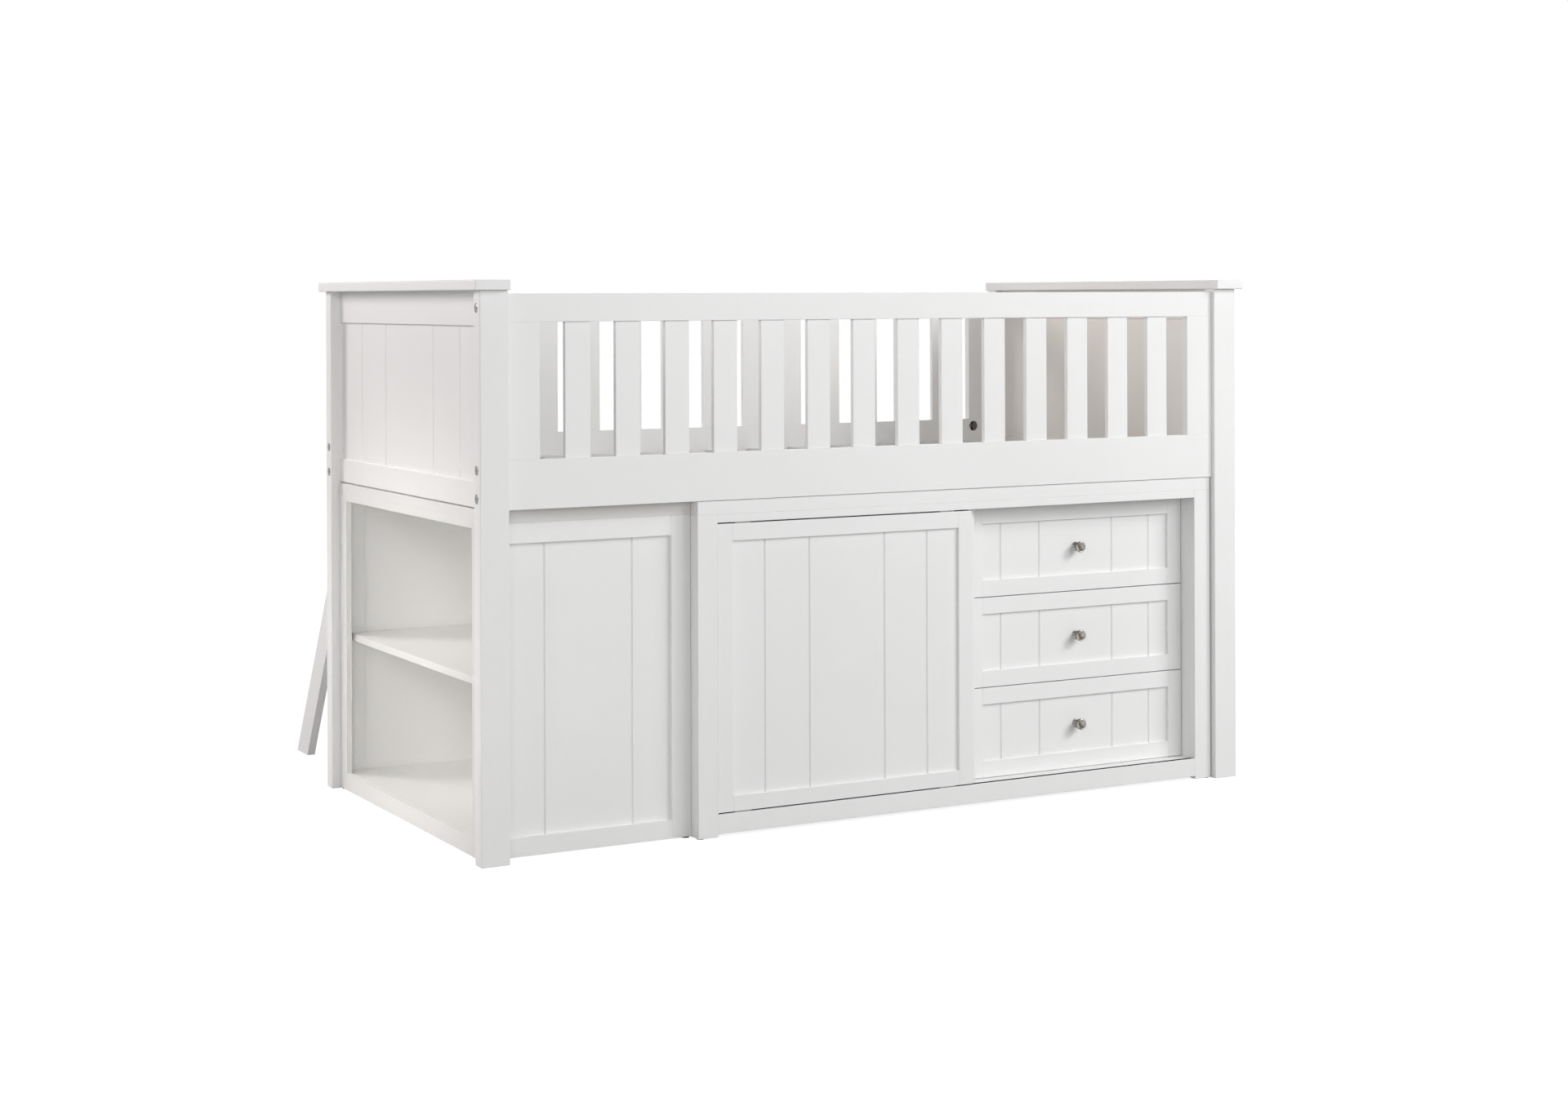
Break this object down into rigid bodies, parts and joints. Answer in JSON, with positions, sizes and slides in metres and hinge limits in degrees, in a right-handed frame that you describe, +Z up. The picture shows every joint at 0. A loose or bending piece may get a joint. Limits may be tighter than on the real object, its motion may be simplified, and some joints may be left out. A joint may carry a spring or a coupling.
{
  "type": "low loft bed",
  "caption": "Low loft bed in white painted wood with slatted guards, boarded ends and a ladder, over an open bookcase and a cabinet with sliding door and drawers.",
  "frame": {"origin": "on the floor under the middle of the bed and ladder's bounding box", "axes": "+X along the bed from the bookcase end, +Y from the cabinet's front to the ladder, +Z up"},
  "size_m": [2.03, 1.5178, 1.229],
  "materials": {
    "white_paint": "satin white paint",
    "bare_wood": "planed pine",
    "zinc_steel": "zinc plated",
    "knob_nickel": "brushed nickel",
    "dark_plastic": "matt",
    "white_plastic": "matt"
  },
  "bodies": {
    "bed": {"post_front_left": "white_paint", "post_front_right": "white_paint", "post_back_left": "white_paint", "post_back_right": "white_paint", "cap_left": "white_paint", "cap_right": "white_paint", "end_rails_left": "white_paint", "end_rails_right": "white_paint", "end_panel_left": "white_paint", "end_panel_right": "white_paint", "front_side_rail": "white_paint", "front_guard_frame": "white_paint", "front_guard_slats": "white_paint", "back_side_rail": "white_paint", "back_guard_frame": "white_paint", "back_guard_slats": "white_paint", "slat_cleats": "bare_wood", "base_slats": "white_paint", "frame_dowels": "bare_wood", "frame_bolts": "zinc_steel", "frame_nuts": "zinc_steel", "ladder_stiles": "white_paint", "ladder_treads": "white_paint", "ladder_hooks": "zinc_steel"},
    "bookcase": {"bookcase_top": "white_paint", "bookcase_base": "white_paint", "bookcase_face_frame": "white_paint", "bookcase_side_frames": "white_paint", "bookcase_side_panels": "white_paint", "bookcase_back": "white_paint", "bookcase_shelf": "white_paint", "bookcase_shelf_pins": "zinc_steel", "bookcase_glides": "dark_plastic"},
    "cabinet": {"cabinet_top": "white_paint", "cabinet_base": "white_paint", "cabinet_sides": "white_paint", "cabinet_divider": "white_paint", "cabinet_back": "white_paint", "cabinet_face_frame": "white_paint", "cabinet_shelf": "white_paint", "cabinet_shelf_pins": "zinc_steel", "cabinet_glides": "dark_plastic", "door_tracks": "dark_plastic", "drawer_channels": "zinc_steel"},
    "door": {"door_frame": "white_paint", "door_panel": "white_paint", "door_guides": "white_plastic"},
    "drawer_top": {"drawer_top_front": "white_paint", "drawer_top_box": "bare_wood", "drawer_top_knob": "knob_nickel", "drawer_top_runners": "zinc_steel"},
    "drawer_middle": {"drawer_middle_front": "white_paint", "drawer_middle_box": "bare_wood", "drawer_middle_knob": "knob_nickel", "drawer_middle_runners": "zinc_steel"},
    "drawer_bottom": {"drawer_bottom_front": "white_paint", "drawer_bottom_box": "bare_wood", "drawer_bottom_knob": "knob_nickel", "drawer_bottom_runners": "zinc_steel"}
  },
  "joints": [
    {"name": "bookcase_pull_out", "type": "slide", "parent": "bed", "child": "bookcase", "axis": [-1, 0, 0], "range_m": [0, 0.5]},
    {"name": "cabinet_pull_out", "type": "slide", "parent": "bed", "child": "cabinet", "axis": [0, -1, 0], "range_m": [0, 0.5]},
    {"name": "door_slide", "type": "slide", "parent": "cabinet", "child": "door", "axis": [-1, 0, 0], "range_m": [-0.65, 0]},
    {"name": "drawer_top_slide", "type": "slide", "parent": "cabinet", "child": "drawer_top", "axis": [0, -1, 0], "range_m": [0, 0.28]},
    {"name": "drawer_middle_slide", "type": "slide", "parent": "cabinet", "child": "drawer_middle", "axis": [0, -1, 0], "range_m": [0, 0.28]},
    {"name": "drawer_bottom_slide", "type": "slide", "parent": "cabinet", "child": "drawer_bottom", "axis": [0, -1, 0], "range_m": [0, 0.28]}
  ]
}
